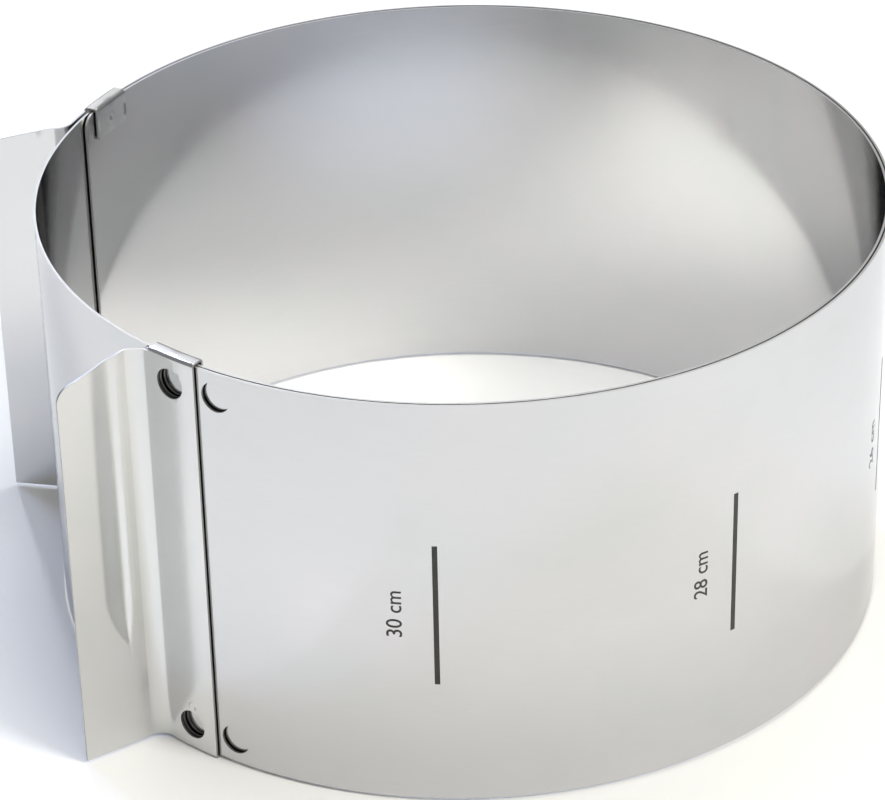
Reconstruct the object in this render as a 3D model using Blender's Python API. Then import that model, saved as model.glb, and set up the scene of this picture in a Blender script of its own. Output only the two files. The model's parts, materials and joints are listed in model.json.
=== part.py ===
"""Adjustable cake ring of stainless sheet, standing open at its smallest size.

One long springy strip is coiled into a ring of nearly two turns. A bent-sheet handle is fixed to each
end, and its tabs fold over both rims, so that either end slides along the other layer and the ring grows.
The strip is built as short arcs, each hinged on the next at the sheet's middle, because it bends all the
way round when the ring opens. The arc halfway along stands still, and both halves of the strip are carried
by it. Arcs and handles are drawn as middle surfaces and thickened like real sheet.
Lengths are in metres, +Z is up, the axis of the ring stands at the origin and the tabs rest on z = 0.
"""

import math
from typing import NamedTuple

import bmesh
import bpy
from mathutils import Matrix, Vector

# The ring
CLOSED_DIAMETER = 0.18
STRIP_WRAP = math.radians(652.2)
STRIP_HEIGHT = 0.092
SHEET = 0.0005
LAYER_GAP = 0.0003
END_CORNER_RADIUS = 0.003
OUTER_END_BEARING = math.radians(225.4)

# The arcs that let the strip bend
ARC_COUNT = 52
STANDING_ARC = 26
HOLE_TO_FIRST_HINGE = 0.00425
HINGE_GAP = 0.0003
ARC_FACETS = 5

# The round holes near the outer end, which the sheet of each handle repeats
HOLE_DIAMETER = 0.0065
HOLE_FROM_RIM = 0.0054
PLATE_HOLE_FROM_EDGE = 0.0061
STRIP_HOLE_FROM_EDGE = 0.0045
HOLE_SIDES = 32

# The handles
STRIP_UNDER_PLATE = 0.015
OUTER_PLATE_LENGTH = 0.0117
OUTER_FLAP_BEND = math.radians(77)
INNER_PLATE_LENGTH = 0.0178
INNER_FLAP_BEND = math.radians(80)
FLAP_BEND_RADIUS = 0.004
FLAP_LENGTH = 0.0152
FLAP_TAPER = 0.0045
FLAP_CORNER_RADIUS = 0.0025
FIXED_GAP = 0.0003
SLIDING_ROOM = 0.0007

# The tabs that fold over the rims
TAB_LENGTH = 0.0115
TAB_LEG = 0.0066
RIM_GAP = 0.0003

# The stiffening bead pressed into the outer end's flap
BEAD_LENGTH = 0.058
BEAD_WIDTH = 0.005
BEAD_HEIGHT = 0.0011
BEAD_FROM_BEND = 0.0050
BEAD_END_LENGTH = 0.008

# Facets of the handles
PLATE_FACETS = 4
BEND_FACETS = 7
FLAP_STATIONS = 9
CORNER_FACETS = 4
FOLD_FACETS = 3
BEAD_END_FACETS = 5
SHARP_ANGLE = math.radians(40)

HALF_SHEET = SHEET / 2
LAYER_PITCH = SHEET + LAYER_GAP
MOUTH = FIXED_GAP + LAYER_PITCH + SHEET + SLIDING_ROOM
OUTER_RADIUS = CLOSED_DIAMETER / 2 - HALF_SHEET
FIRST_ARC_LENGTH = STRIP_UNDER_PLATE + STRIP_HOLE_FROM_EDGE + HOLE_DIAMETER / 2 + HOLE_TO_FIRST_HINGE
STRIP_LENGTH = STRIP_WRAP * (OUTER_RADIUS - LAYER_PITCH * STRIP_WRAP / math.tau / 2)
STRIP_FOOT = SHEET + RIM_GAP
STRIP_TOP = STRIP_FOOT + STRIP_HEIGHT
STRIP_MIDDLE = (STRIP_FOOT + STRIP_TOP) / 2
FOLD_RADIUS = RIM_GAP + HALF_SHEET
CUT_DEPTH = 4 * SHEET


class Plan(NamedTuple):
    """A handle seen from above: its plate's length beside the strip, how far its flap is bent outward, and
    whether a bead stiffens the flap."""

    plate_length: float
    flap_bend: float
    beaded: bool

    def flap_start(self):
        """The developed length at which the bend ends and the straight flap begins."""
        return self.plate_length + self.flap_bend * FLAP_BEND_RADIUS

    def sheet_end(self):
        """The developed length of the whole sheet, out to the flap's outer edge."""
        return self.flap_start() + FLAP_LENGTH


OUTER_PLAN = Plan(OUTER_PLATE_LENGTH, OUTER_FLAP_BEND, True)
INNER_PLAN = Plan(INNER_PLATE_LENGTH, INNER_FLAP_BEND, False)


def clear_scene():
    """Remove every object, so that only the ring is left."""
    for obj in list(bpy.data.objects):
        bpy.data.objects.remove(obj, do_unlink=True)


def steel(name, colour, roughness):
    """A polished stainless sheet."""
    material = bpy.data.materials.new(name)
    material.use_nodes = True
    shader = material.node_tree.nodes["Principled BSDF"]
    shader.inputs["Base Color"].default_value = (*colour, 1)
    shader.inputs["Metallic"].default_value = 1
    shader.inputs["Roughness"].default_value = roughness
    return material


def new_object(name, mesh, parent=None):
    """Link a mesh to the scene under its name, carried by its parent."""
    obj = bpy.data.objects.new(name, mesh)
    bpy.context.scene.collection.objects.link(obj)
    obj.parent = parent
    return obj


def arc_place(radius, turn):
    """The point and the heading reached after this turn on an arc that leaves the origin along +X."""
    place = Vector((radius * math.sin(turn), radius * (1 - math.cos(turn)), 0))
    return Matrix.Translation(place) @ Matrix.Rotation(turn, 4, "Z")


def corner_drop(from_edge, radius):
    """How far a rounded corner lies below a straight edge, this far in from the corner's side."""
    if from_edge >= radius:
        return 0
    return radius - math.sqrt(radius**2 - (radius - from_edge) ** 2)


def corner_steps(radius):
    """Stations across a rounded corner, evenly spaced round its arc."""
    turns = [step * math.pi / 2 / CORNER_FACETS for step in range(CORNER_FACETS + 1)]
    return [radius * (1 - math.cos(turn)) for turn in turns]


def surface_mesh(name, columns):
    """A mesh of quads between neighbouring columns of points. A column may be None past a tab's side."""
    mesh = bpy.data.meshes.new(name)
    shape = bmesh.new()
    made = [[None if point is None else shape.verts.new(point) for point in column] for column in columns]
    for left, right in zip(made, made[1:]):
        for row in range(len(left) - 1):
            ring = (left[row], right[row], right[row + 1], left[row + 1])
            if None not in ring:
                shape.faces.new(ring)
    shape.to_mesh(mesh)
    shape.free()
    return mesh


def thicken(obj):
    """Give a middle surface the sheet's thickness, half to each side."""
    solidify = obj.modifiers.new("Sheet thickness", "SOLIDIFY")
    solidify.thickness = SHEET
    solidify.offset = 0
    solidify.use_even_offset = True


def punch(obj, place, name):
    """Cut one round hole, square to the sheet at the given place in the object's frame."""
    mesh = bpy.data.meshes.new(name)
    shape = bmesh.new()
    bmesh.ops.create_cone(
        shape,
        cap_ends=True,
        segments=HOLE_SIDES,
        radius1=HOLE_DIAMETER / 2,
        radius2=HOLE_DIAMETER / 2,
        depth=CUT_DEPTH,
        matrix=Matrix.Rotation(math.pi / 2, 4, "X"),
    )
    shape.to_mesh(mesh)
    shape.free()
    cutter = new_object(name, mesh, obj)
    cutter.matrix_local = place
    cutter.hide_render = True
    cutter.display_type = "WIRE"
    cut = obj.modifiers.new(name, "BOOLEAN")
    cut.operation = "DIFFERENCE"
    cut.solver = "EXACT"
    cut.object = cutter
    return cutter


def finish_sheet(obj, cutters, material):
    """Keep the thickened and punched shape, with its bends shaded smooth and its cut edges crisp."""
    graph = bpy.context.evaluated_depsgraph_get()
    mesh = bpy.data.meshes.new_from_object(obj.evaluated_get(graph))
    mesh.name = obj.name
    obj.modifiers.clear()
    obj.data = mesh
    mesh.materials.append(material)
    mesh.shade_smooth()
    mesh.set_sharp_from_angle(angle=SHARP_ANGLE)
    for cutter in cutters:
        bpy.data.objects.remove(cutter, do_unlink=True)


def arc_columns(length, radius, origin, round_start=False, round_end=False):
    """The columns of points of one arc of strip, between half a hinge gap at each end.

    Stations run from the arc's start, and the arc's own frame stands at the station called origin.
    """
    start = 0 if round_start else HINGE_GAP / 2
    end = length if round_end else length - HINGE_GAP / 2
    stations = [start + (end - start) * step / ARC_FACETS for step in range(ARC_FACETS + 1)]
    if round_start:
        stations += [start + step for step in corner_steps(END_CORNER_RADIUS)]
    if round_end:
        stations += [end - step for step in corner_steps(END_CORNER_RADIUS)]
    columns = []
    for station in sorted(set(stations)):
        drop = 0
        if round_start:
            drop = max(drop, corner_drop(station - start, END_CORNER_RADIUS))
        if round_end:
            drop = max(drop, corner_drop(end - station, END_CORNER_RADIUS))
        foot = arc_place(radius, (station - origin) / radius).translation
        heights = (STRIP_FOOT + drop, STRIP_TOP - drop)
        columns.append([foot + Vector((0, 0, height)) for height in heights])
    return columns


def strip_arcs():
    """The length and the radius of each arc: the radius falls by the layers' pitch in every turn."""
    rest = (STRIP_LENGTH - FIRST_ARC_LENGTH) / (ARC_COUNT - 1)
    arcs = []
    turned = 0
    for index in range(ARC_COUNT):
        length = rest if index else FIRST_ARC_LENGTH
        middle = turned + length / OUTER_RADIUS / 2
        radius = OUTER_RADIUS - LAYER_PITCH * middle / math.tau
        arcs.append((length, radius))
        turned += length / radius
    return arcs


def strip_places(arcs):
    """Where each arc starts, walking along the strip from its outer end, and where the last one ends."""
    out = Vector((math.cos(OUTER_END_BEARING), math.sin(OUTER_END_BEARING), 0))
    turn = Matrix.Rotation(OUTER_END_BEARING + math.pi / 2, 4, "Z")
    places = [Matrix.Translation(OUTER_RADIUS * out) @ turn]
    for length, radius in arcs:
        places.append(places[-1] @ arc_place(radius, length / radius))
    return places


def hole_heights():
    """The two rows of holes, one near each rim."""
    return (("lower", STRIP_FOOT + HOLE_FROM_RIM), ("upper", STRIP_TOP - HOLE_FROM_RIM))


def punch_strip_end(link, radius, origin):
    """The strip's outer end has holes under the plate and beside it, near both rims."""
    under_plate = STRIP_UNDER_PLATE - PLATE_HOLE_FROM_EDGE
    beside_plate = STRIP_UNDER_PLATE + STRIP_HOLE_FROM_EDGE
    cutters = []
    for level, height in hole_heights():
        for side, station in (("plate", under_plate), ("strip", beside_plate)):
            place = Matrix.Translation((0, 0, height)) @ arc_place(radius, (station - origin) / radius)
            cutters.append(punch(link, place, f"{level}_{side}_hole_cutter"))
    return cutters


def build_strip(material):
    """The coiled strip. Each arc hangs on its neighbour towards the standing arc, by a hinge at their shared
    edge, where its own frame stands."""
    arcs = strip_arcs()
    places = strip_places(arcs)
    standing = STANDING_ARC - 1
    order = list(range(standing, ARC_COUNT)) + list(range(standing - 1, -1, -1))
    links = {}
    for index in order:
        length, radius = arcs[index]
        before = index < standing
        origin = length if before else 0
        columns = arc_columns(length, radius, origin, index == 0, index == ARC_COUNT - 1)
        name = f"strip_arc_{index + 1:02d}"
        link = new_object(name, surface_mesh(name, columns))
        link.matrix_world = places[index + 1] if before else places[index]
        if index != standing:
            carrier = index + 1 if before else index - 1
            hinge = places[carrier + 1] if carrier < standing else places[carrier]
            link.parent = links[carrier]
            link.matrix_local = hinge.inverted() @ link.matrix_world
        thicken(link)
        cutters = punch_strip_end(link, radius, origin) if index == 0 else []
        finish_sheet(link, cutters, material)
        links[index] = link
    return links, arcs


def bead_rise(across, height):
    """How far the bead stands out of the flap, by place across the flap from the bend and by height."""
    half_width = BEAD_WIDTH / 2
    side = abs(across - BEAD_FROM_BEND - half_width)
    past = max(0, abs(height - STRIP_MIDDLE) - BEAD_LENGTH / 2 + BEAD_END_LENGTH) / BEAD_END_LENGTH
    fullness = math.sqrt(max(0, 1 - past**2))
    if side >= half_width * fullness:
        return 0
    return BEAD_HEIGHT * fullness * math.cos(side / half_width * math.pi / 2) ** 2


def bead_heights():
    """Heights of the rows through the bead, closer together towards its round ends."""
    turns = [step * math.pi / 2 / BEAD_END_FACETS for step in range(BEAD_END_FACETS + 1)]
    ends = [BEAD_LENGTH / 2 - BEAD_END_LENGTH * (1 - math.sin(turn)) for turn in turns]
    return [STRIP_MIDDLE - end for end in reversed(ends)] + [STRIP_MIDDLE + end for end in ends]


def plan_stations(plan):
    """Stations along the handle's sheet from its free edge: plate, bend and flap, as developed lengths."""
    bend = plan.flap_start() - plan.plate_length
    bead_start = plan.flap_start() + BEAD_FROM_BEND
    stations = [TAB_LENGTH * step / PLATE_FACETS for step in range(PLATE_FACETS + 1)]
    stations += [plan.plate_length + bend * step / BEND_FACETS for step in range(BEND_FACETS + 1)]
    if plan.beaded:
        stations += [bead_start + BEAD_WIDTH * step / FLAP_STATIONS for step in range(FLAP_STATIONS + 1)]
    stations += [plan.sheet_end() - step for step in corner_steps(FLAP_CORNER_RADIUS)]
    return sorted(set(stations))


def plan_place(station, radius, plan):
    """The place on the handle's plan: an arc beside the strip, then an outward bend, then the straight flap.

    The frame's X runs along the sheet, away from the free edge, and its -Y points out of the ring.
    """
    place = arc_place(radius, min(station, plan.plate_length) / radius)
    turned = min(max(0, station - plan.plate_length) / FLAP_BEND_RADIUS, plan.flap_bend)
    straight = max(0, station - plan.flap_start())
    return place @ arc_place(-FLAP_BEND_RADIUS, -turned) @ Matrix.Translation((straight, 0, 0))


def fold_steps():
    """A tab's section from the rim's level up, over and down: (inward, up) from the plate's edge."""
    over = MOUTH + SHEET
    turns = [step * math.pi / 2 / FOLD_FACETS for step in range(FOLD_FACETS + 1)]
    quarter = [(FOLD_RADIUS * (1 - math.cos(turn)), FOLD_RADIUS * math.sin(turn)) for turn in turns]
    far = [(over - inward, up) for inward, up in reversed(quarter)]
    return quarter[1:] + far + [(over, -TAB_LEG)]


def handle_column(station, radius, plan):
    """One column of points of the handle's middle surface, from the lower tab to the upper one."""
    place = plan_place(station, radius, plan)
    across = max(0, station - plan.flap_start())
    drop = FLAP_TAPER * across / FLAP_LENGTH + corner_drop(plan.sheet_end() - station, FLAP_CORNER_RADIUS)
    low, high = STRIP_FOOT + drop, STRIP_TOP - drop
    upright = [place @ Vector((0, 0, low))]
    if plan.beaded:
        upright += [place @ Vector((0, bead_rise(across, height), height)) for height in bead_heights()]
    upright.append(place @ Vector((0, 0, high)))
    lower_tab = [None for step in fold_steps()]
    upper_tab = list(lower_tab)
    if station <= TAB_LENGTH:
        lower_tab = [place @ Vector((0, inward, low - up)) for inward, up in reversed(fold_steps())]
        upper_tab = [place @ Vector((0, inward, high + up)) for inward, up in fold_steps()]
    return lower_tab + upright + upper_tab


def build_handle(name, link, length, radius, outer_end, material):
    """A handle of bent sheet on the arc at one end of the strip: plate, flap and both tabs.

    The handle at the inner end turns the other way and has a longer plate and a flat flap. It lies outside
    the layer that slides between the plate and the strip's inner end.
    """
    plan = OUTER_PLAN if outer_end else INNER_PLAN
    lift = SHEET + FIXED_GAP if outer_end else MOUTH - FIXED_GAP
    plate_radius = radius + lift
    columns = [handle_column(station, plate_radius, plan) for station in plan_stations(plan)]
    from_hinge = length - STRIP_UNDER_PLATE
    hole_turn = PLATE_HOLE_FROM_EDGE / plate_radius
    if outer_end:
        mirror = Matrix.Scale(-1, 4, Vector((1, 0, 0)))
        columns = [[None if point is None else mirror @ point for point in column] for column in columns]
        from_hinge = -from_hinge
        hole_turn = -hole_turn
    handle = new_object(name, surface_mesh(name, columns), link)
    handle.matrix_local = arc_place(radius, from_hinge / radius) @ Matrix.Translation((0, -lift, 0))
    thicken(handle)
    cutters = []
    for level, height in hole_heights():
        place = Matrix.Translation((0, 0, height)) @ arc_place(plate_radius, hole_turn)
        cutters.append(punch(handle, place, f"{name}_{level}_hole_cutter"))
    finish_sheet(handle, cutters, material)
    return handle


def main():
    """Build the ring and its two handles."""
    clear_scene()
    strip_steel = steel("Polished strip steel", (0.80, 0.80, 0.81), 0.16)
    handle_steel = steel("Satin handle steel", (0.78, 0.78, 0.77), 0.24)
    links, arcs = build_strip(strip_steel)
    first, last = 0, ARC_COUNT - 1
    build_handle("outer_end_handle", links[first], *arcs[first], True, handle_steel)
    build_handle("inner_end_handle", links[last], *arcs[last], False, handle_steel)


main()
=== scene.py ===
"""An adjustable cake ring of sheet steel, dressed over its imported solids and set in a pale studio.

The coiled strip and both handles are cut as flat blanks, folded up, thickened and punched, the way the real
ones are made. Lengths are in metres, in the frame of the solids: +Z is up and the tray lies at z = 0.
"""

import json
import logging
import math
from collections.abc import Callable, Sequence
from dataclasses import dataclass, field
from enum import Enum

import bmesh
import bpy
from mathutils import Matrix, Vector


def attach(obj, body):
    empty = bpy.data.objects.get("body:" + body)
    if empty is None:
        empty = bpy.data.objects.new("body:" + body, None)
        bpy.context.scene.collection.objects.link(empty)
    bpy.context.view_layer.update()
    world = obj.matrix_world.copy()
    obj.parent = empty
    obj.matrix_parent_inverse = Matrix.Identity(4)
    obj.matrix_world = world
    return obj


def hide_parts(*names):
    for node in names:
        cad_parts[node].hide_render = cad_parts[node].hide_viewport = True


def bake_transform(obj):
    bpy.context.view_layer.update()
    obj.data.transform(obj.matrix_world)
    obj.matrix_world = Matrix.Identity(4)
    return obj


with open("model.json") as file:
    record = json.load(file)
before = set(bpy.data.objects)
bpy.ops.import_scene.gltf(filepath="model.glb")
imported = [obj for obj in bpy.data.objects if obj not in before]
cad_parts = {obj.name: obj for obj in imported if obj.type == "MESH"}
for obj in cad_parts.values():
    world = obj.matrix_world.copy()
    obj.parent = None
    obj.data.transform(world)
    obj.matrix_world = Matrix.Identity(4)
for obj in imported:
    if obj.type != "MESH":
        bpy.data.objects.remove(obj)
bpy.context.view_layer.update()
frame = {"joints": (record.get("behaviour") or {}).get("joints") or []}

log = logging.getLogger("cake_ring")

Colour = tuple[float, float, float]

SHEET = 0.0005
LAYER_GAP = 0.0003
LAYER_PITCH = SHEET + LAYER_GAP
RIM_GAP = 0.0003
FOOT = SHEET + RIM_GAP
HEIGHT = 0.092
TOP = FOOT + HEIGHT
MIDDLE = (FOOT + TOP) / 2
STRIP_UNDER_PLATE = 0.015
HOLE_DIAMETER = 0.0065
HOLE_FROM_RIM = 0.0054
PLATE_HOLE_FROM_EDGE = 0.0061
STRIP_HOLE_FROM_EDGE = 0.0045
PHOTO_WIDTH = 885
ROUNDING = 1e-6
UP = Vector((0, 0, 1))


class Slot(Enum):
    """The record's material slots."""

    STRIP = "strip"
    HANDLE = "handle"


class End(Enum):
    """The strip's two ends, each with the solid of its handle."""

    OUTER = "outer_end_handle"
    INNER = "inner_end_handle"


@dataclass(frozen=True)
class Arc:
    """One short arc of the coiled strip, followed counterclockwise as seen from above."""

    start: Vector
    heading: float
    length: float
    radius: float
    station: float

    @property
    def centre(self) -> Vector:
        """The point about which the arc turns."""
        return self.start + self.radius * Vector((-math.sin(self.heading), math.cos(self.heading), 0))

    def outward(self, station: float) -> Vector:
        """The direction that points out of the ring at this station of the strip."""
        turned = self.heading + (station - self.station) / self.radius
        return Vector((math.sin(turned), -math.cos(turned), 0))

    def point(self, station: float, lift: float = 0, height: float = 0) -> Vector:
        """The point this far along the strip, lifted outward from its middle surface."""
        return self.centre + (self.radius + lift) * self.outward(station) + Vector((0, 0, height))


@dataclass
class Coil:
    """The strip's middle line, as the solids hold it: arcs whose radius falls by a layer in every turn."""

    closed_diameter: float = 0.18
    wrap: float = math.radians(652.2)
    outer_end_bearing: float = math.radians(225.4)
    arc_count: int = 52
    first_arc_length: float = 0.027
    arcs: list[Arc] = field(default_factory=list)

    def __post_init__(self) -> None:
        """Work out the arcs from the outer end inward."""
        outer_radius = (self.closed_diameter - SHEET) / 2
        self.length = self.wrap * (outer_radius - LAYER_PITCH * self.wrap / math.tau / 2)
        rest = (self.length - self.first_arc_length) / (self.arc_count - 1)
        bearing = self.outer_end_bearing
        start = outer_radius * Vector((math.cos(bearing), math.sin(bearing), 0))
        heading, turned, station = bearing + math.pi / 2, 0.0, 0.0
        for index in range(self.arc_count):
            length = rest if index else self.first_arc_length
            middle = turned + length / outer_radius / 2
            radius = outer_radius - LAYER_PITCH * middle / math.tau
            arc = Arc(start, heading, length, radius, station)
            self.arcs.append(arc)
            station += length
            turned += length / radius
            heading += length / radius
            start = arc.point(station)

    def arc_at(self, station: float) -> Arc:
        """The arc that holds this station."""
        held = [arc for arc in self.arcs if arc.station <= station]
        return held[-1] if held else self.arcs[0]

    def point(self, station: float, lift: float = 0, height: float = 0) -> Vector:
        """The point this far along the strip, lifted outward from its middle surface."""
        return self.arc_at(station).point(station, lift, height)

    def outward(self, station: float) -> Vector:
        """The direction that points out of the ring at this station."""
        return self.arc_at(station).outward(station)

    def body(self, index: int) -> str:
        """The name of the body that carries an arc.

        Args:
            index: The arc's index, from the outer end.

        Returns:
            The body's name.
        """
        if index == 0:
            return "outer_end"
        return "inner_end" if index == self.arc_count - 1 else f"arc_{index + 1:02d}"

    def end_arc(self, end: End) -> int:
        """The index of the arc at this end."""
        return 0 if end is End.OUTER else self.arc_count - 1

    def greatest_miss(self, joints: Sequence[dict]) -> float:
        """How far the arcs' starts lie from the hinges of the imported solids, at most.

        Args:
            joints: The frame's joints, each with its place under pos_m.

        Returns:
            The greatest distance in metres.
        """
        hinges = [Vector((*joint["pos_m"][:2], 0)) for joint in joints]
        return max(min((arc.start - hinge).length for hinge in hinges) for arc in self.arcs[1:])


@dataclass
class Blank:
    """A flat sheet-metal blank, cut as a grid of stations along it and heights up it, and then folded.

    Attributes:
        name: The piece's name.
        stations: Lengths along the blank, ascending.
        heights: Developed heights, ascending.
        place: Gives the folded point for a station and a height.
        keep: Says whether the cell round a station and a height is part of the blank.
    """

    name: str
    stations: Sequence[float]
    heights: Sequence[float]
    place: Callable[[float, float], Vector]
    keep: Callable[[float, float], bool] = lambda along, up: True

    def folded(self) -> bpy.types.Object:
        """Cut the blank, record its flat pattern as a UV map, and fold it up.

        Returns:
            The middle surface of the folded sheet.
        """
        shape = bmesh.new()
        cells = (len(self.stations) - 1, len(self.heights) - 1)
        bmesh.ops.create_grid(shape, x_segments=cells[0], y_segments=cells[1], size=1, calc_uvs=True)
        for vert in shape.verts:
            column = round((vert.co.x + 1) / 2 * cells[0])
            row = round((vert.co.y + 1) / 2 * cells[1])
            vert.co = (self.stations[column], self.heights[row], 0)
        waste = [face for face in shape.faces if not self.keep(*face.calc_center_median().xy)]
        bmesh.ops.delete(shape, geom=waste, context="FACES")
        pattern = shape.loops.layers.uv.verify()
        for face in shape.faces:
            for loop in face.loops:
                loop[pattern].uv = loop.vert.co.xy
        for vert in shape.verts:
            vert.co = self.place(vert.co.x, vert.co.y)
        mesh = bpy.data.meshes.new(self.name)
        shape.to_mesh(mesh)
        shape.free()
        mesh.uv_layers[0].name = "pattern"
        return link(self.name, mesh)


@dataclass
class Press:
    """Turns a folded blank into finished sheet: gives it thickness, punches it and eases its cut edges.

    Attributes:
        sheared_painted_shade: The steel of a punched hole's wall, rough and tinted dark as painted shade
            inside the hole.
        deburred: The steel of the blank's cut edges.
        edge_radius: How far the cut edges are rounded.
        edge_segments: The steps in that rounding.
        sharp: The least angle of an edge that is rounded.
        punch_sides: The sides of the round punch.
        punch_depth: Its depth, which leaves the coil's next layer whole.
    """

    sheared_painted_shade: bpy.types.Material
    deburred: bpy.types.Material
    edge_radius: float = 0.00011
    edge_segments: int = 2
    sharp: float = math.radians(40)
    punch_sides: int = 64
    punch_depth: float = 1.6 * SHEET

    def thicken(self, obj: bpy.types.Object) -> None:
        """Thicken the middle surface, half to each side, and give the cut edges their own finish.

        Args:
            obj: The folded blank.
        """
        obj.data.materials.append(self.deburred)
        solidify = obj.modifiers.new("Sheet thickness", "SOLIDIFY")
        solidify.material_offset_rim = 1
        solidify.thickness = SHEET
        solidify.offset = 0
        solidify.use_even_offset = True

    def punch(self, obj: bpy.types.Object, at: Vector, outward: Vector, diameter: float) -> bpy.types.Object:
        """Punch one round hole square through this layer of the sheet, and not the next.

        Args:
            obj: The thickened sheet.
            at: The hole's middle.
            outward: The sheet's normal there.
            diameter: The hole's width.

        Returns:
            The cutter, to be removed once the sheet is finished.
        """
        shape = bmesh.new()
        turn = outward.to_track_quat("Z", "Y").to_matrix().to_4x4()
        bmesh.ops.create_cone(
            shape,
            cap_ends=True,
            segments=self.punch_sides,
            radius1=diameter / 2,
            radius2=diameter / 2,
            depth=self.punch_depth,
            matrix=Matrix.Translation(at) @ turn,
        )
        mesh = bpy.data.meshes.new("punch")
        shape.to_mesh(mesh)
        shape.free()
        # The cutter gives the hole's wall this steel, whose dark tint is painted shade.
        mesh.materials.append(self.sheared_painted_shade)
        cutter = link("punch", mesh)
        cutter.hide_render = True
        cut = obj.modifiers.new("Hole", "BOOLEAN")
        cut.operation = "DIFFERENCE"
        cut.solver = "EXACT"
        cut.material_mode = "TRANSFER"
        cut.object = cutter
        return cutter

    def ease(self, obj: bpy.types.Object) -> None:
        """Round the cut edges a little, as deburring does.

        Args:
            obj: The thickened sheet.
        """
        bevel = obj.modifiers.new("Deburred edges", "BEVEL")
        bevel.width = self.edge_radius
        bevel.segments = self.edge_segments
        bevel.limit_method = "ANGLE"
        bevel.angle_limit = self.sharp
        bevel.use_clamp_overlap = True
        even = obj.modifiers.new("Even shading", "WEIGHTED_NORMAL")
        even.keep_sharp = True

    def settle(self, obj: bpy.types.Object, cutters: Sequence[bpy.types.Object] = ()) -> None:
        """Make the modified shape the object's own mesh, smooth but for its sharp edges.

        Args:
            obj: The sheet.
            cutters: Helpers that are no longer needed.
        """
        obj.data.shade_smooth()
        graph = bpy.context.evaluated_depsgraph_get()
        mesh = bpy.data.meshes.new_from_object(obj.evaluated_get(graph))
        mesh.name = obj.name
        obj.modifiers.clear()
        obj.data = mesh
        for cutter in cutters:
            bpy.data.objects.remove(cutter, do_unlink=True)


def link(name: str, mesh: bpy.types.Mesh) -> bpy.types.Object:
    """Put a mesh in the scene as an object at the origin.

    Args:
        name: The object's name.
        mesh: Its mesh.

    Returns:
        The object.
    """
    obj = bpy.data.objects.new(name, mesh)
    bpy.context.scene.collection.objects.link(obj)
    return obj


def corner_drop(from_edge: float, radius: float) -> float:
    """How far a rounded corner lies below a straight edge.

    Args:
        from_edge: How far in from the side.
        radius: The corner's radius.

    Returns:
        The drop, which is zero past the corner.
    """
    if from_edge >= radius:
        return 0
    return radius - math.sqrt(radius**2 - (radius - max(0, from_edge)) ** 2)


def corner_lines(radius: float, count: int) -> list[float]:
    """Distances in from a side at which a rounded corner has turned by equal steps."""
    return [radius * (1 - math.cos(step * math.pi / (2 * count))) for step in range(count + 1)]


def spread(start: float, end: float, step: float) -> list[float]:
    """Even stations from start to end, no further apart than step."""
    count = max(1, math.ceil((end - start) / step - ROUNDING))
    return [start + (end - start) * index / count for index in range(count + 1)]


def merged(*runs: Sequence[float], least: float = 0.00004) -> list[float]:
    """Join several runs of stations, without those that all but coincide.

    Args:
        runs: The runs of stations.
        least: The least distance between two stations.

    Returns:
        The stations, ascending.
    """
    kept: list[float] = []
    for value in sorted(value for run in runs for value in run):
        if not kept or value - kept[-1] > least:
            kept.append(value)
    return kept


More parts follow.
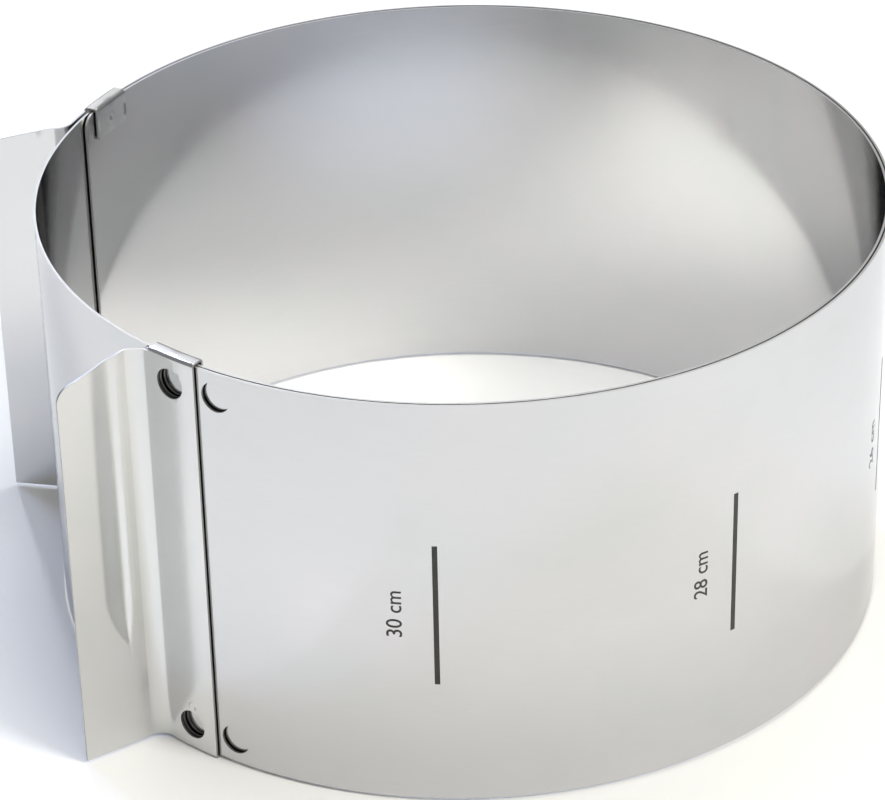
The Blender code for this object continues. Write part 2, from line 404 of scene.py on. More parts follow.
class MaterialTree:
    """A node material with a metal shader, and short ways to add and join its nodes."""

    def __init__(self, name: str) -> None:
        """Make the material and find its shader.

        Args:
            name: The material's name.
        """
        self.material = bpy.data.materials.new(name)
        self.material.use_nodes = True
        self.nodes = self.material.node_tree.nodes
        self.shader = self.nodes["Principled BSDF"]

    def add(self, kind: str, **settings: object) -> bpy.types.Node:
        """Add a node.

        Args:
            kind: The node's kind, without the prefix that all shader nodes share.
            settings: Its settings and the values of its inputs.

        Returns:
            The node.
        """
        node = self.nodes.new("ShaderNode" + kind)
        for key, value in settings.items():
            if key in node.inputs:
                node.inputs[key].default_value = value
            else:
                setattr(node, key, value)
        return node

    def join(self, source: bpy.types.NodeSocket, target: bpy.types.NodeSocket) -> None:
        """Join an output to an input."""
        self.material.node_tree.links.new(source, target)

    def pattern(self, scale: tuple[float, float, float]) -> bpy.types.NodeSocket:
        """The sheet's flat pattern in metres, scaled.

        Args:
            scale: The factors along the sheet, up it and through it.

        Returns:
            The scaled place.
        """
        flat = self.add("UVMap", uv_map="pattern")
        mapping = self.add("Mapping")
        mapping.inputs["Scale"].default_value = scale
        self.join(flat.outputs["UV"], mapping.inputs["Vector"])
        return mapping.outputs["Vector"]

    def noise(
        self,
        spots: tuple[float, float],
        detail: float = 2,
        roughness: float = 0.5,
    ) -> bpy.types.NodeSocket:
        """Noise over the flat pattern.

        Args:
            spots: Its spots to the metre, along and up.
            detail: How many finer layers it has.
            roughness: How strong these are.

        Returns:
            The noise, from 0 to 1.
        """
        noise = self.add("TexNoise", noise_dimensions="2D", Scale=1.0, Detail=detail, Roughness=roughness)
        self.join(self.pattern((*spots, 1)), noise.inputs["Vector"])
        return noise.outputs["Fac"]

    def grit(self, spots: float) -> bpy.types.NodeSocket:
        """Fine noise through the metal.

        Args:
            spots: Its spots to the metre.

        Returns:
            The noise, from 0 to 1.
        """
        coords = self.add("TexCoord")
        noise = self.add("TexNoise", Scale=spots, Detail=3.0)
        self.join(coords.outputs["Object"], noise.inputs["Vector"])
        return noise.outputs["Fac"]

    def ranged(
        self,
        source: bpy.types.NodeSocket,
        low: float = 0,
        high: float = 1,
        spread_from: tuple[float, float] = (0.3, 0.7),
    ) -> bpy.types.NodeSocket:
        """A value between low and high, following the source.

        Args:
            source: The value to follow.
            low: The result's least value.
            high: The result's greatest value.
            spread_from: The part of the source's range that is spread out.

        Returns:
            The new value.
        """
        span = self.add("MapRange")
        for name, value in zip(("From Min", "From Max", "To Min", "To Max"), (*spread_from, low, high)):
            span.inputs[name].default_value = value
        self.join(source, span.inputs["Value"])
        return span.outputs["Result"]

    def mix(self, dark: Colour, light: Colour, factor: bpy.types.NodeSocket) -> bpy.types.NodeSocket:
        """A tint between dark and light, following a factor.

        Args:
            dark: The tint at a factor of 0.
            light: The tint at a factor of 1.
            factor: The factor.

        Returns:
            The tint.
        """
        mix = self.add("Mix", data_type="RGBA")
        mix.inputs["A"].default_value = (*dark, 1)
        mix.inputs["B"].default_value = (*light, 1)
        self.join(factor, mix.inputs["Factor"])
        return mix.outputs["Result"]

    def multiply(self, first: bpy.types.NodeSocket, second: bpy.types.NodeSocket) -> bpy.types.NodeSocket:
        """One tint laid over another.

        Args:
            first: The tint below.
            second: The tint over it.

        Returns:
            Both together.
        """
        both = self.add("Mix", data_type="RGBA", blend_type="MULTIPLY")
        both.inputs["Factor"].default_value = 1
        self.join(first, both.inputs["A"])
        self.join(second, both.inputs["B"])
        return both.outputs["Result"]

    def bump(self, height: bpy.types.NodeSocket, depth: float) -> bpy.types.Node:
        """A bump in the surface.

        Args:
            height: The height to follow, from 0 to 1.
            depth: The bump's depth in metres.

        Returns:
            The bump's node, which can take a coarser bump's normal.
        """
        bump = self.add("Bump", Strength=1.0, Distance=depth)
        self.join(height, bump.inputs["Height"])
        return bump


@dataclass(frozen=True)
class RolledSteel:
    """Stainless sheet as rolled: a soft mirror, streaked along the rolling direction.

    Attributes:
        name: The finish's name.
        colour: The metal's colour.
        smooth: The roughness of its glossiest streaks.
        dull: The roughness of its dullest streaks.
        grain: How much more it blurs reflections across the rolling direction than along it.
        scratch: The depth of the fine rolling marks, in metres.
        ripple: The depth of the slow waves in the sheet, in metres.
        grazing: How much of the usual glare it keeps at a grazing view.
        streaks: The rolling streaks to the metre, along and up.
        streak_share: Their share in the roughness.
        streak_shade: How dark they are.
        clouds: The glossier and duller patches to the metre.
        cloud_range: The patches' least and greatest share in the roughness.
        smudges: The faintly tinted handling marks to the metre.
        smudge_dark: Their darkest tint.
        smudge_light: Their lightest tint.
        waves: The slow waves to the metre.
    """

    name: str
    colour: Colour
    smooth: float
    dull: float
    grain: float
    scratch: float
    ripple: float = 0.0003
    grazing: float = 0.86
    streaks: tuple[float, float] = (120, 5200)
    streak_share: float = 0.3
    streak_shade: float = 0.975
    clouds: tuple[float, float] = (22, 30)
    cloud_range: tuple[float, float] = (0.2, 0.55)
    smudges: tuple[float, float] = (33, 42)
    smudge_dark: Colour = (0.95, 0.965, 0.965)
    smudge_light: Colour = (1.0, 0.985, 1.0)
    waves: tuple[float, float] = (9, 14)

    def material(self) -> bpy.types.Material:
        """Build the finish as a node material.

        Returns:
            The material.
        """
        tree = MaterialTree(self.name)
        shader = tree.shader
        shader.inputs["Metallic"].default_value = 1
        shader.inputs["Anisotropic"].default_value = self.grain
        shader.inputs["Anisotropic Rotation"].default_value = 0.25
        shader.inputs["Specular Tint"].default_value = (*(self.grazing,) * 3, 1)
        tangent = tree.add("Tangent", direction_type="UV_MAP", uv_map="pattern")
        tree.join(tangent.outputs["Tangent"], shader.inputs["Tangent"])

        streaks = tree.noise(self.streaks, detail=3)
        clouds = tree.noise(self.clouds, detail=3)
        both = tree.add("Math", operation="MULTIPLY_ADD")
        tree.join(streaks, both.inputs[0])
        both.inputs[1].default_value = self.streak_share
        tree.join(tree.ranged(clouds, *self.cloud_range), both.inputs[2])
        roughness = tree.ranged(both.outputs[0], self.smooth, self.dull, (0.2, 0.8))
        tree.join(roughness, shader.inputs["Roughness"])

        streaked = tuple(self.streak_shade * part for part in self.colour)
        tint = tree.mix(streaked, self.colour, tree.ranged(streaks))
        smudges = tree.ranged(tree.noise(self.smudges, detail=4, roughness=0.6))
        smudge = tree.mix(self.smudge_dark, self.smudge_light, smudges)
        tree.join(tree.multiply(tint, smudge), shader.inputs["Base Color"])

        waves = tree.bump(tree.noise(self.waves, detail=1), self.ripple)
        marks = tree.bump(streaks, self.scratch)
        tree.join(waves.outputs["Normal"], marks.inputs["Normal"])
        tree.join(marks.outputs["Normal"], shader.inputs["Normal"])
        return tree.material


@dataclass(frozen=True)
class MottledFinish:
    """A matt, finely mottled finish: a punched hole's torn wall, whose dark tint is painted shade, a deburred
    edge or an etched mark.

    Attributes:
        name: The finish's name.
        metallic: One where it is bare steel, zero where it is oxide.
        dark: Its darkest tint.
        light: Its lightest tint.
        roughness: Its least and greatest roughness.
        spots: Its spots to the metre.
    """

    name: str
    metallic: float
    dark: Colour
    light: Colour
    roughness: tuple[float, float]
    spots: float

    def material(self) -> bpy.types.Material:
        """Build the finish as a node material.

        Returns:
            The material.
        """
        tree = MaterialTree(self.name)
        tree.shader.inputs["Metallic"].default_value = self.metallic
        grit = tree.grit(self.spots)
        tree.join(tree.mix(self.dark, self.light, tree.ranged(grit)), tree.shader.inputs["Base Color"])
        tree.join(tree.ranged(grit, *self.roughness), tree.shader.inputs["Roughness"])
        return tree.material


STRIP_STEEL = RolledSteel(
    name="Rolled strip steel",
    colour=(0.61, 0.61, 0.615),
    smooth=0.09,
    dull=0.14,
    grain=0.6,
    scratch=0.0000004,
)
HANDLE_STEEL = RolledSteel(
    name="Rolled handle steel",
    colour=(0.675, 0.675, 0.67),
    smooth=0.17,
    dull=0.24,
    grain=0.4,
    scratch=0.0000002,
)
# The hole walls' steel: a torn wall is rougher than the sheet, and its dark grey tint is painted shade for
# the inside of the holes.
SHEARED_WITH_PAINTED_SHADE = MottledFinish(
    name="Sheared steel with painted shade",
    metallic=1,
    dark=(0.16, 0.1573, 0.1536),
    light=(0.28, 0.2752, 0.2688),
    roughness=(0.38, 0.55),
    spots=5200,
)
DEBURRED = MottledFinish(
    name="Deburred steel",
    metallic=1,
    dark=(0.40, 0.3932, 0.384),
    light=(0.48, 0.4718, 0.4608),
    roughness=(0.42, 0.52),
    spots=5200,
)
ETCHED = MottledFinish(
    name="Etched black",
    metallic=0,
    dark=(0.006, 0.006, 0.006),
    light=(0.030, 0.027, 0.024),
    roughness=(0.30, 0.42),
    spots=2600,
)


@dataclass
class Strip:
    """The long coiled strip, shown as short lengths, of which the two end lengths are fixed to the end
    bodies.

    Attributes:
        coil: The strip's middle line.
        finish: The strip's steel.
        press: The tool that makes sheet of the folded blank.
        corner_radius: The radius of the strip's four corners.
        corner_steps: The steps round a corner.
        facet: The longest facet along the strip.
        rigid_outer_length: How much of the outer end doesn't bend.
        rigid_past_last_hinge: How far past the last hinge the inner end's rigid length starts.
        square_to_face: How squarely a face looks outward or inward to count as a broad side.
    """

    coil: Coil
    finish: bpy.types.Material
    press: Press
    corner_radius: float = 0.003
    corner_steps: int = 6
    facet: float = 0.0025
    rigid_outer_length: float = 0.024
    rigid_past_last_hinge: float = 0.004
    square_to_face: float = 0.97

    def cuts(self) -> list[float]:
        """The stations at which the strip is parted: each arc's middle, and the rigid ends' limits.

        Returns:
            The stations, with the strip's own two ends.
        """
        arcs = self.coil.arcs
        middles = [arc.station + arc.length / 2 for arc in arcs[1:-1]]
        last = arcs[-1].station + self.rigid_past_last_hinge
        return [0, self.rigid_outer_length, *middles, last, self.coil.length]

    def corner_stations(self) -> list[float]:
        """Stations round the corners at both ends."""
        lines = corner_lines(self.corner_radius, self.corner_steps)
        return lines + [self.coil.length - line for line in lines]

    def place(self, station: float, height: float) -> Vector:
        """Coil the blank up, with its four corners rounded.

        Args:
            station: The length along the blank.
            height: The height up it.

        Returns:
            The coiled point.
        """
        from_end = min(station, self.coil.length - station)
        drop = corner_drop(from_end, self.corner_radius)
        height = MIDDLE + (height - MIDDLE) * (1 - 2 * drop / HEIGHT)
        return self.coil.point(station, 0, height)

    def coiled(self) -> bpy.types.Object:
        """The whole strip in one piece, with its four holes.

        Returns:
            The strip.
        """
        cuts = self.cuts()
        runs = [spread(start, end, self.facet) for start, end in zip(cuts, cuts[1:])]
        blank = Blank("strip", merged(*runs, self.corner_stations()), (FOOT, TOP), self.place)
        strip = blank.folded()
        strip.data.materials.append(self.finish)
        self.press.thicken(strip)
        cutters = []
        under_plate = STRIP_UNDER_PLATE - PLATE_HOLE_FROM_EDGE
        beside_plate = STRIP_UNDER_PLATE + STRIP_HOLE_FROM_EDGE
        for height in (FOOT + HOLE_FROM_RIM, TOP - HOLE_FROM_RIM):
            for station in (under_plate, beside_plate):
                at = self.coil.point(station, 0, height)
                cutters.append(self.press.punch(strip, at, self.coil.outward(station), HOLE_DIAMETER))
        self.press.ease(strip)
        self.press.settle(strip, cutters)
        return strip

    def part(self, whole: bpy.types.Object, name: str, start: float, end: float) -> bpy.types.Object:
        """Cut one length out of the strip.

        Args:
            whole: The coiled strip.
            name: The length's name.
            start: The station at which it starts.
            end: The station at which it ends.

        Returns:
            The length as its own object, open at its cuts.
        """
        # The strip's own end faces lie right on these two limits, so both are widened
        if start == 0:
            start -= SHEET
        if end == self.coil.length:
            end += SHEET
        shape = bmesh.new()
        shape.from_mesh(whole.data)
        pattern = shape.loops.layers.uv.verify()
        others = []
        for face in shape.faces:
            along = sum(loop[pattern].uv.x for loop in face.loops) / len(face.loops)
            if not start <= along < end:
                others.append(face)
        bmesh.ops.delete(shape, geom=others, context="FACES")
        mesh = bpy.data.meshes.new(name)
        shape.to_mesh(mesh)
        shape.free()
        for material in whole.data.materials:
            mesh.materials.append(material)
        length = link(name, mesh)
        self.true_normals(mesh)
        return length

    def true_normals(self, mesh: bpy.types.Mesh) -> None:
        """Shade broad sides and rims as true arcs, so that no facet and no cut between lengths shows.

        Args:
            mesh: The mesh of one length.
        """
        mesh.shade_smooth()
        uvs = mesh.uv_layers["pattern"].data
        normals = [Vector()] * len(mesh.loops)
        for face in mesh.polygons:
            count = len(face.loop_indices)
            out = self.coil.outward(sum(uvs[index].uv.x for index in face.loop_indices) / count)
            height = sum(uvs[index].uv.y for index in face.loop_indices) / count
            side = face.normal.dot(out)
            past = face.normal.dot(UP.cross(out))
            inside = FOOT + self.press.edge_radius < height < TOP - self.press.edge_radius
            if inside and abs(side) <= self.square_to_face:
                continue
            for index in face.loop_indices:
                here = self.coil.outward(uvs[index].uv.x)
                normals[index] = (side * here + past * UP.cross(here) + face.normal.z * UP).normalized()
        mesh.normals_split_custom_set(normals)

    def build(self) -> list[bpy.types.Object]:
        """Coil the strip, part it, and fix the two end lengths to their bodies; the lengths in between stay
        where they are.

        Returns:
            The lengths, from the outer end inward.
        """
        whole = self.coiled()
        cuts = self.cuts()
        made = []
        for index, (start, end) in enumerate(zip(cuts, cuts[1:])):
            length = self.part(whole, f"strip_length_{index:02d}", start, end)
            self.attach(length, index)
            made.append(length)
        for index, length in enumerate(made[: self.coil.arc_count], start=1):
            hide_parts(f"strip_arc_{index:02d}")
        bpy.data.objects.remove(whole, do_unlink=True)
        return made

    def attach(self, piece: bpy.types.Object, index: int) -> None:
        """Fix a piece of an end length to that end's body; a piece of a length in between only gets its place
        baked into its mesh.

        Args:
            piece: The length itself, or a mark on it.
            index: The length's index.
        """
        cuts = self.cuts()
        if index == 0:
            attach(piece, self.coil.body(0))
        elif index == len(cuts) - 2:
            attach(piece, self.coil.body(self.coil.arc_count - 1))
        else:
            start, end = (self.coil.point(cut, 0, MIDDLE) for cut in cuts[index : index + 2])
            self.coil.body(index - 1)
            self.coil.body(index)
            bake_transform(piece)
            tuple(start)
            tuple(end)

    def carry(self, piece: bpy.types.Object, station: float) -> None:
        """Let a flat mark on the strip move as the length under it does."""
        self.attach(piece, max(index for index, cut in enumerate(self.cuts()[:-1]) if cut <= station))


@dataclass
class Scale:
    """The diameters marked on the strip: an upright line and a number for every two centimetres.

    Attributes:
        strip: The strip that is marked.
        ink: The marks' finish.
        first_line: The station of the widest diameter's line.
        spacing: How far apart the lines are: a circle's growth by two centimetres of diameter.
        line_width: The lines' width.
        line_foot: The height at which the lines start.
        line_top: The height at which they end.
        line_cuts: The cuts across a line's width, so that it follows the strip.
        number_before_line: How far a number's middle stands before its line.
        number_middle: The height of the numbers' middle.
        number_length: Their length, up the strip.
        digit_height: The digits' height, along the strip.
        ink_depth: The marks' thickness.
        boldness: How much fatter than the font the digits are.
        diameters: The marked diameters in centimetres.
    """

    strip: Strip
    ink: bpy.types.Material
    first_line: float = STRIP_UNDER_PLATE + 0.0485
    spacing: float = math.pi * 0.02
    line_width: float = 0.00108
    line_foot: float = 0.0288
    line_top: float = 0.0613
    line_cuts: int = 3
    number_before_line: float = 0.0083
    number_middle: float = 0.0451
    number_length: float = 0.0107
    digit_height: float = 0.0032
    ink_depth: float = 0.00002
    boldness: float = 0.006
    diameters: tuple[int, ...] = (30, 28, 26, 24, 22, 20, 18)

    def press_on(self, mesh: bpy.types.Mesh, station: float) -> None:
        """Lay flat marks on the strip's outside.

        Args:
            mesh: The marks, with X along the strip, Y up it and Z out of it.
            station: Where their origin comes to lie.
        """
        lift = SHEET / 2 + self.ink_depth / 2
        for vert in mesh.vertices:
            along, up, out = vert.co
            vert.co = self.strip.coil.point(station + along, lift + out, up)

    def line(self, diameter: int, station: float) -> bpy.types.Object:
        """One upright line.

        Args:
            diameter: The marked diameter in centimetres.
            station: The line's station.

        Returns:
            The line.
        """
        size = (self.line_width, self.line_top - self.line_foot, self.ink_depth)
        shape = bmesh.new()
        bmesh.ops.create_cube(shape, size=1)
        bmesh.ops.scale(shape, verts=shape.verts, vec=size)
        bmesh.ops.translate(shape, verts=shape.verts, vec=(0, (self.line_top + self.line_foot) / 2, 0))
        across = [edge for edge in shape.edges if abs(edge.verts[0].co.x - edge.verts[1].co.x) > size[0] / 2]
        bmesh.ops.subdivide_edges(shape, edges=across, cuts=self.line_cuts, use_grid_fill=True)
        mesh = bpy.data.meshes.new(f"mark_{diameter}")
        shape.to_mesh(mesh)
        shape.free()
        self.press_on(mesh, station)
        return link(f"mark_{diameter}", mesh)

    def number(self, diameter: int, station: float) -> bpy.types.Object:
        """One number with its unit, reading upward.

        Args:
            diameter: The marked diameter in centimetres.
            station: The station of its middle.

        Returns:
            The number.
        """
        text = bpy.data.curves.new(f"number_{diameter}", "FONT")
        text.body = f"{diameter} cm"
        text.align_x, text.align_y = "CENTER", "CENTER"
        text.extrude = 0.5  # One unit thick, and scaled to the ink's depth below
        text.offset = self.boldness
        writer = bpy.data.objects.new(text.name, text)
        bpy.context.scene.collection.objects.link(writer)
        bpy.context.view_layer.update()
        mesh = bpy.data.meshes.new_from_object(writer)
        bpy.data.objects.remove(writer, do_unlink=True)
        xs = [vert.co.x for vert in mesh.vertices]
        ys = [vert.co.y for vert in mesh.vertices]
        wide = self.number_length / (max(xs) - min(xs))
        tall = self.digit_height / (max(ys) - min(ys))
        middle_x, middle_y = (max(xs) + min(xs)) / 2, (max(ys) + min(ys)) / 2
        for vert in mesh.vertices:
            x, y, z = vert.co
            vert.co = (-(y - middle_y) * tall, self.number_middle + (x - middle_x) * wide, z * self.ink_depth)
        self.press_on(mesh, station)
        mesh.name = f"number_{diameter}"
        return link(mesh.name, mesh)

    def build(self) -> list[bpy.types.Object]:
        """Mark every diameter.

        Returns:
            The lines and numbers.
        """
        made = []
        for index, diameter in enumerate(self.diameters):
            at_line = self.first_line + index * self.spacing
            at_number = at_line - self.number_before_line
            for mark, station in ((self.line, at_line), (self.number, at_number)):
                piece = mark(diameter, station)
                piece.data.materials.clear()
                piece.data.materials.append(self.ink)
                self.strip.carry(piece, station)
                made.append(piece)
        return made


@dataclass(frozen=True)
class WeldDent:
    """The small round dent that a spot weld leaves in the sheet, with a raised lip.

    Attributes:
        station: Its middle along the blank.
        height: Its middle up the blank, as a developed height.
        radius: The dent's radius.
        depth: The dent's depth.
        reach: How far out the lip ends, in radii.
        lip: The lip's height as a share of the depth.
        fineness: The spacing of the blank's lines across it, in radii.
    """

    station: float
    height: float
    radius: float = 0.00075
    depth: float = 0.00013
    reach: float = 1.6
    lip: float = 0.3
    fineness: float = 0.2

    def sink(self, station: float, height: float) -> float:
        """How far the dent pushes the sheet in.

        Args:
            station: The length along the blank.
            height: The height up it.

        Returns:
            The depth there, which is below zero on the lip.
        """
        away = math.hypot(station - self.station, height - self.height) / self.radius
        if away >= self.reach:
            return 0
        if away > 1:
            return -self.lip * self.depth * math.sin((away - 1) / (self.reach - 1) * math.pi) ** 2
        return self.depth * math.cos(away * math.pi / 2) ** 2

    def lines(self, middle: float) -> list[float]:
        """Close grid lines across the dent, about its middle."""
        reach = self.reach * self.radius
        return spread(middle - reach, middle + reach, self.fineness * self.radius)


@dataclass
class Handle:
    """A bent-sheet handle: a plate beside the strip, an outward flap with a bead, and a tab over each rim.

    Attributes:
        name: The piece's name.
        coil: The strip's middle line.
        end: The end of the strip that it is on.
        plate_length: How far the plate runs before the bend.
        flap_bend: How far the flap is bent outward.
        beaded: Whether a bead stiffens the flap.
        finish: The handle's steel.
        press: The tool that makes sheet of the folded blank.
        dents: The spot welds that show.
        bend_radius: The radius of the bend between plate and flap.
        flap_length: The flap's straight length.
        flap_taper: How much lower the flap is at its free edge, above and below.
        flap_corner_radius: The radius of the flap's free corners.
        flap_corner_steps: The steps round such a corner.
        fixed_gap: The gap between the plate and its own end of the strip.
        sliding_room: The play of the layer that slides in the tabs.
        tab_length: The tabs' length along the rims.
        tab_leg: How far the tabs reach past the folds.
        bead_foot: The height at which the bead starts, as a point.
        bead_end: How far up it has its full width.
        bead_depth: Its depth.
        bead_fade: How much shallower it is at the upper rim.
        bead_from_bend: How far from the bend it starts.
        bead_steep: Its width on the side of the bend.
        bead_gentle: Its width on the side of the free edge.
        broad_step: The spacing of the blank's lines where it is flat along.
        bend_step: Their spacing in the bend.
        steep_step: Their spacing on the bead's steep side.
        gentle_step: Their spacing on its gentle side.
        tall_step: The spacing of the lines up the blank where it is plain.
        bead_step: Their spacing at the bead's foot.
        fold_step: Their spacing in the tabs' folds.
        over_step: Their spacing between the two folds of a tab.
        leg_step: Their spacing in a tab's leg.
    """

    name: str
    coil: Coil
    end: End
    plate_length: float
    flap_bend: float
    beaded: bool
    finish: bpy.types.Material
    press: Press
    dents: tuple[WeldDent, ...] = ()
    bend_radius: float = 0.004
    flap_length: float = 0.0152
    flap_taper: float = 0.0045
    flap_corner_radius: float = 0.0025
    flap_corner_steps: int = 8
    fixed_gap: float = 0.0003
    sliding_room: float = 0.0007
    tab_length: float = 0.0115
    tab_leg: float = 0.0066
    bead_foot: float = FOOT + 0.0237
    bead_end: float = 0.014
    bead_depth: float = 0.0008
    bead_fade: float = 0.55
    bead_from_bend: float = 0.0020
    bead_steep: float = 0.0013
    bead_gentle: float = 0.0056
    broad_step: float = 0.0012
    bend_step: float = 0.0005
    steep_step: float = 0.0002
    gentle_step: float = 0.0004
    tall_step: float = 0.0024
    bead_step: float = 0.0005
    fold_step: float = 0.00018
    over_step: float = 0.001
    leg_step: float = 0.0016

    def __post_init__(self) -> None:
        """Work out the plate's radius, the blank's limits and the handle's place at the strip's end."""
        arc = self.coil.arcs[self.coil.end_arc(self.end)]
        outer = self.end is End.OUTER
        mouth = self.fixed_gap + LAYER_PITCH + SHEET + self.sliding_room
        lift = SHEET + self.fixed_gap if outer else mouth - self.fixed_gap
        self.radius = arc.radius + lift
        self.flap_start = self.plate_length + self.flap_bend * self.bend_radius
        self.sheet_end = self.flap_start + self.flap_length
        self.fold_radius = RIM_GAP + SHEET / 2
        self.over = mouth + SHEET
        self.quarter = math.pi / 2 * self.fold_radius
        self.second_fold = self.quarter + self.over - 2 * self.fold_radius
        self.fold_length = self.second_fold + self.quarter
        free_edge = STRIP_UNDER_PLATE if outer else self.coil.length - STRIP_UNDER_PLATE
        outward = arc.outward(free_edge)
        along = UP.cross(outward) * (-1 if outer else 1)
        self.frame = Matrix((along, -outward, UP)).transposed().to_4x4()
        self.frame.translation = arc.point(free_edge, lift)

    def plan(self, station: float) -> Matrix:
        """Follow the handle's plan: plate, outward bend, then the straight flap.

        Args:
            station: The length along the blank.

        Returns:
            The place and heading, seen from above.
        """

        def turned(radius: float, turn: float) -> Matrix:
            """The place and heading at the end of an arc."""
            place = Vector((radius * math.sin(turn), radius * (1 - math.cos(turn)), 0))
            return Matrix.Translation(place) @ Matrix.Rotation(turn, 4, "Z")

        plate = turned(self.radius, min(station, self.plate_length) / self.radius)
        bent = min(max(0, station - self.plate_length) / self.bend_radius, self.flap_bend)
        straight = max(0, station - self.flap_start)
        return plate @ turned(-self.bend_radius, -bent) @ Matrix.Translation((straight, 0, 0))

    def fold(self, past: float) -> tuple[float, float]:
        """Follow a tab's section: past the rim, over both layers and back again.

        Args:
            past: The developed length past the rim's level.

        Returns:
            How far in and how far up the sheet lies there.
        """
        radius = self.fold_radius
        if past < self.quarter:
            turn = past / radius
            return radius * (1 - math.cos(turn)), radius * math.sin(turn)
        if past < self.second_fold:
            return radius + past - self.quarter, radius
        if past < self.fold_length:
            turn = (past - self.second_fold) / radius
            return self.over - radius * (1 - math.sin(turn)), radius * math.cos(turn)
        return self.over, self.fold_length - past

    def rise(self, across: float, height: float) -> float:
        """The bead's height: it starts as a point and fades towards the upper rim.

        Args:
            across: How far past the bend on the flap.
            height: The height on it.

        Returns:
            How far the sheet is pressed back there.
        """
        along = height - self.bead_foot
        if not self.beaded or along <= 0:
            return 0
        full = 1 - max(0, 1 - along / self.bead_end) ** 2
        deepest = self.bead_from_bend + self.bead_steep
        side = abs(across - deepest) / (full * (self.bead_steep if across < deepest else self.bead_gentle))
        if side >= 1:
            return 0
        fade = 1 - self.bead_fade * (along / (TOP - self.bead_foot)) ** 2
        return self.bead_depth * full * fade * math.cos(side * math.pi / 2) ** 2

    def place(self, station: float, height: float) -> Vector:
        """Fold the blank up: heights past either rim go round the tabs' folds.

        Args:
            station: The length along the blank.
            height: The developed height up it.

        Returns:
            The folded point.
        """
        plan = self.plan(station)
        sunk = sum(dent.sink(station, height) for dent in self.dents)
        past = max(FOOT - height, height - TOP)
        if past > 0:
            inward, up = self.fold(past)
            level = TOP + up if height > TOP else FOOT - up
            return self.frame @ plan @ Vector((0, inward - sunk, level))
        across = max(0, station - self.flap_start)
        drop = self.flap_taper * across / self.flap_length
        drop += corner_drop(self.sheet_end - station, self.flap_corner_radius)
        level = MIDDLE + (height - MIDDLE) * (1 - 2 * drop / HEIGHT)
        return self.frame @ plan @ Vector((0, self.rise(across, level) + sunk, level))

    def stations(self) -> list[float]:
        """Cut the blank's length finely in the bend, the bead and the rounded corners.

        Returns:
            The stations, ascending.
        """
        bead = self.flap_start + self.bead_from_bend
        crest = bead + self.bead_steep
        bead_edge = crest + self.bead_gentle
        return merged(
            spread(0, self.tab_length, self.broad_step),
            spread(self.tab_length, self.plate_length, self.broad_step),
            spread(self.plate_length, self.flap_start, self.bend_step),
            spread(self.flap_start, bead, self.broad_step),
            spread(bead, crest, self.steep_step),
            spread(crest, bead_edge, self.gentle_step),
            spread(bead_edge, self.sheet_end, self.broad_step),
            [self.sheet_end - line for line in corner_lines(self.flap_corner_radius, self.flap_corner_steps)],
            *[dent.lines(dent.station) for dent in self.dents],
        )

    def heights(self) -> list[float]:
        """Cut the blank's height finely in the tabs' folds and at the bead's foot.

        Returns:
            The developed heights, ascending.
        """
        folds = merged(
            spread(0, self.quarter, self.fold_step),
            spread(self.quarter, self.second_fold, self.over_step),
            spread(self.second_fold, self.fold_length, self.fold_step),
            spread(self.fold_length, self.fold_length + self.tab_leg, self.leg_step),
        )
        full_bead = self.bead_foot + self.bead_end
        return merged(
            [FOOT - past for past in folds],
            spread(FOOT, self.bead_foot, self.tall_step),
            spread(self.bead_foot, full_bead, self.bead_step),
            spread(full_bead, TOP, self.tall_step),
            [TOP + past for past in folds],
            *[dent.lines(dent.height) for dent in self.dents],
        )

    def keep(self, station: float, height: float) -> bool:
        """Past the rims only the tabs are part of the blank."""
        return FOOT < height < TOP or station < self.tab_length

    def build(self) -> bpy.types.Object:
        """Fold, thicken and punch the handle, and put it in place of its solid.

        Returns:
            The handle.
        """
        handle = Blank(self.name, self.stations(), self.heights(), self.place, self.keep).folded()
        handle.data.materials.append(self.finish)
        self.press.thicken(handle)
        cutters = []
        plan = self.frame @ self.plan(PLATE_HOLE_FROM_EDGE)
        for height in (FOOT + HOLE_FROM_RIM, TOP - HOLE_FROM_RIM):
            outward = plan.to_3x3() @ Vector((0, -1, 0))
            cutters.append(self.press.punch(handle, plan @ Vector((0, 0, height)), outward, HOLE_DIAMETER))
        self.press.ease(handle)
        self.press.settle(handle, cutters)
        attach(handle, self.coil.body(self.coil.end_arc(self.end)))
        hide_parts(self.end.value)
        return handle


@dataclass(frozen=True)
class SoftBox:
    """One soft light that faces the ring.

    Attributes:
        name: The light's name.
        bearing: Its bearing in degrees, from the camera's side towards the right.
        elevation: Its elevation in degrees.
        reach: Its distance from the ring.
        size: Its width and height.
        power: Its power in watts.
        colour: Its colour.
    """

    name: str
    bearing: float
    elevation: float
    reach: float
    size: tuple[float, float]
    power: float
    colour: Colour

    def hang(self) -> None:
        """Hang the light in the scene."""
        turn, tilt = math.radians(self.bearing), math.radians(self.elevation)
        away = Vector((math.sin(turn) * math.cos(tilt), -math.cos(turn) * math.cos(tilt), math.sin(tilt)))
        light = bpy.data.lights.new(self.name, "AREA")
        light.shape = "RECTANGLE"
        light.size, light.size_y = self.size
        light.energy = self.power
        light.color = self.colour
        lamp = bpy.data.objects.new(self.name, light)
        lamp.location = MIDDLE * UP + self.reach * away
        lamp.rotation_euler = (-away).to_track_quat("-Z", "Y").to_euler()
        bpy.context.scene.collection.objects.link(lamp)


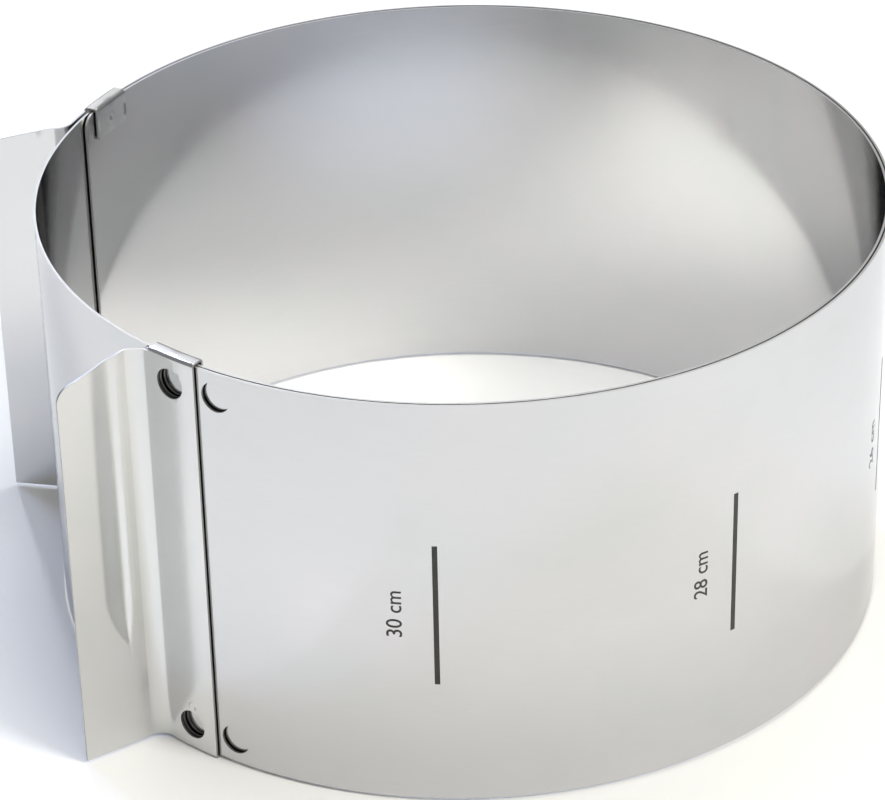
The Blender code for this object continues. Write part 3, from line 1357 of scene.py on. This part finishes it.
@dataclass
class Studio:
    """The pale floor, the soft lights and the camera.

    Attributes:
        camera_at: The camera's place.
        pitch: How far it looks down.
        yaw: How far it looks to the right.
        roll: How far it is turned about its sight.
        focal_pixels: Its focal length in pixels of the photograph.
        sensor: Its sensor's width in millimetres.
        floor_reach: How far the floor runs to each side.
        floor_tint: The floor's grey.
        floor_roughness: The floor's roughness.
        surround_strength: How bright the even surround is.
        soft_boxes: The lights.
    """

    camera_at: tuple[float, float, float] = (0.0, -0.66177, 0.43773)
    pitch: float = 0.540942
    yaw: float = -0.007295
    roll: float = -0.022082
    focal_pixels: float = 3558.7
    sensor: float = 36.0
    floor_reach: float = 4
    floor_tint: float = 0.9
    floor_roughness: float = 0.9
    surround_strength: float = 0.26
    soft_boxes: tuple[SoftBox, ...] = (
        SoftBox("right key", 56.5, 39, 2.2, (0.6, 0.4), 30.5, (1.0, 0.97, 0.88)),
        SoftBox("rear left box", 222, 40, 2.2, (0.5, 0.4), 10.5, (0.50, 0.63, 1.0)),
        SoftBox("rear strip light", 198, 39, 2.2, (0.1, 0.9), 11.0, (0.82, 0.88, 1.0)),
        SoftBox("top box", 40, 80, 2.2, (1.4, 1.4), 12.0, (1.0, 1.0, 0.95)),
        SoftBox("pool box", 185, 84, 0.34, (0.16, 0.16), 0.58, (1.0, 1.0, 0.97)),
        SoftBox("front fill", 22, 50, 2.2, (0.7, 0.7), 4.5, (1.0, 0.99, 0.96)),
        SoftBox("rear right fill", 150, 55, 2.2, (0.7, 0.7), 3.0, (1.0, 0.96, 0.87)),
        SoftBox("left rim light", 194, 28, 2.2, (0.48, 0.48), 0.8, (1.0, 1.0, 1.0)),
        SoftBox("rear rim light", 175, 28, 2.2, (0.84, 0.6), 0.5, (1.0, 1.0, 1.0)),
    )

    def floor(self) -> None:
        """A wide pale floor."""
        shape = bmesh.new()
        bmesh.ops.create_grid(shape, x_segments=1, y_segments=1, size=self.floor_reach)
        mesh = bpy.data.meshes.new("floor")
        shape.to_mesh(mesh)
        shape.free()
        floor = link("floor", mesh)
        tree = MaterialTree("Pale floor")
        tree.shader.inputs["Base Color"].default_value = (*(self.floor_tint,) * 3, 1)
        tree.shader.inputs["Roughness"].default_value = self.floor_roughness
        floor.data.materials.append(tree.material)

    def lights(self) -> None:
        """A dim even surround with soft boxes."""
        world = bpy.data.worlds.new("Surround")
        bpy.context.scene.world = world
        world.use_nodes = True
        surround = world.node_tree.nodes["Background"]
        surround.inputs["Color"].default_value = (1, 1, 1, 1)
        surround.inputs["Strength"].default_value = self.surround_strength
        for soft_box in self.soft_boxes:
            soft_box.hang()

    def camera(self) -> None:
        """Stand the camera where the photograph was taken."""
        sight = Vector((
            math.sin(self.yaw) * math.cos(self.pitch),
            math.cos(self.yaw) * math.cos(self.pitch),
            -math.sin(self.pitch),
        ))
        right = sight.cross(UP).normalized()
        up = right.cross(sight)
        turned = math.cos(self.roll) * right + math.sin(self.roll) * up
        top = -math.sin(self.roll) * right + math.cos(self.roll) * up
        lens = bpy.data.cameras.new("photograph")
        lens.sensor_width = self.sensor
        lens.sensor_fit = "HORIZONTAL"
        lens.lens = self.focal_pixels / PHOTO_WIDTH * self.sensor
        camera = bpy.data.objects.new("photograph", lens)
        place = Matrix((turned, top, -sight)).transposed().to_4x4()
        place.translation = self.camera_at
        camera.matrix_world = place
        bpy.context.scene.collection.objects.link(camera)
        bpy.context.scene.camera = camera

    def build(self) -> None:
        """Set up floor, lights and camera."""
        self.floor()
        self.lights()
        self.camera()
        bpy.context.scene.view_settings.view_transform = "Standard"
        bpy.context.scene.view_settings.look = "None"


def main() -> None:
    """Dress the ring and report each piece."""
    logging.basicConfig(level=logging.INFO, format="%(message)s")
    coil = Coil()
    miss = 1000 * coil.greatest_miss(frame["joints"])
    log.info("coil: %d arcs, off the solids' hinges by %.4f mm", len(coil.arcs), miss)
    press = Press(SHEARED_WITH_PAINTED_SHADE.material(), DEBURRED.material())
    strip = Strip(coil, STRIP_STEEL.material(), press)
    scale = Scale(strip, ETCHED.material())
    handle_steel = HANDLE_STEEL.material()
    outer_handle = Handle(
        name="outer_handle",
        coil=coil,
        end=End.OUTER,
        plate_length=0.0117,
        flap_bend=math.radians(77),
        beaded=True,
        finish=handle_steel,
        press=press,
        dents=(WeldDent(station=0.0055, height=0.0107),),
    )
    inner_handle = Handle(
        name="inner_handle",
        coil=coil,
        end=End.INNER,
        plate_length=0.0178,
        flap_bend=math.radians(80),
        beaded=False,
        finish=handle_steel,
        press=press,
        dents=(WeldDent(station=0.0057, height=TOP + 0.0068, depth=0.00007),),
    )
    for piece in (*strip.build(), *scale.build(), outer_handle.build(), inner_handle.build()):
        log.info("%s: %d faces", piece.name, len(piece.data.polygons))
    Studio().build()


if __name__ == "__main__":
    main()
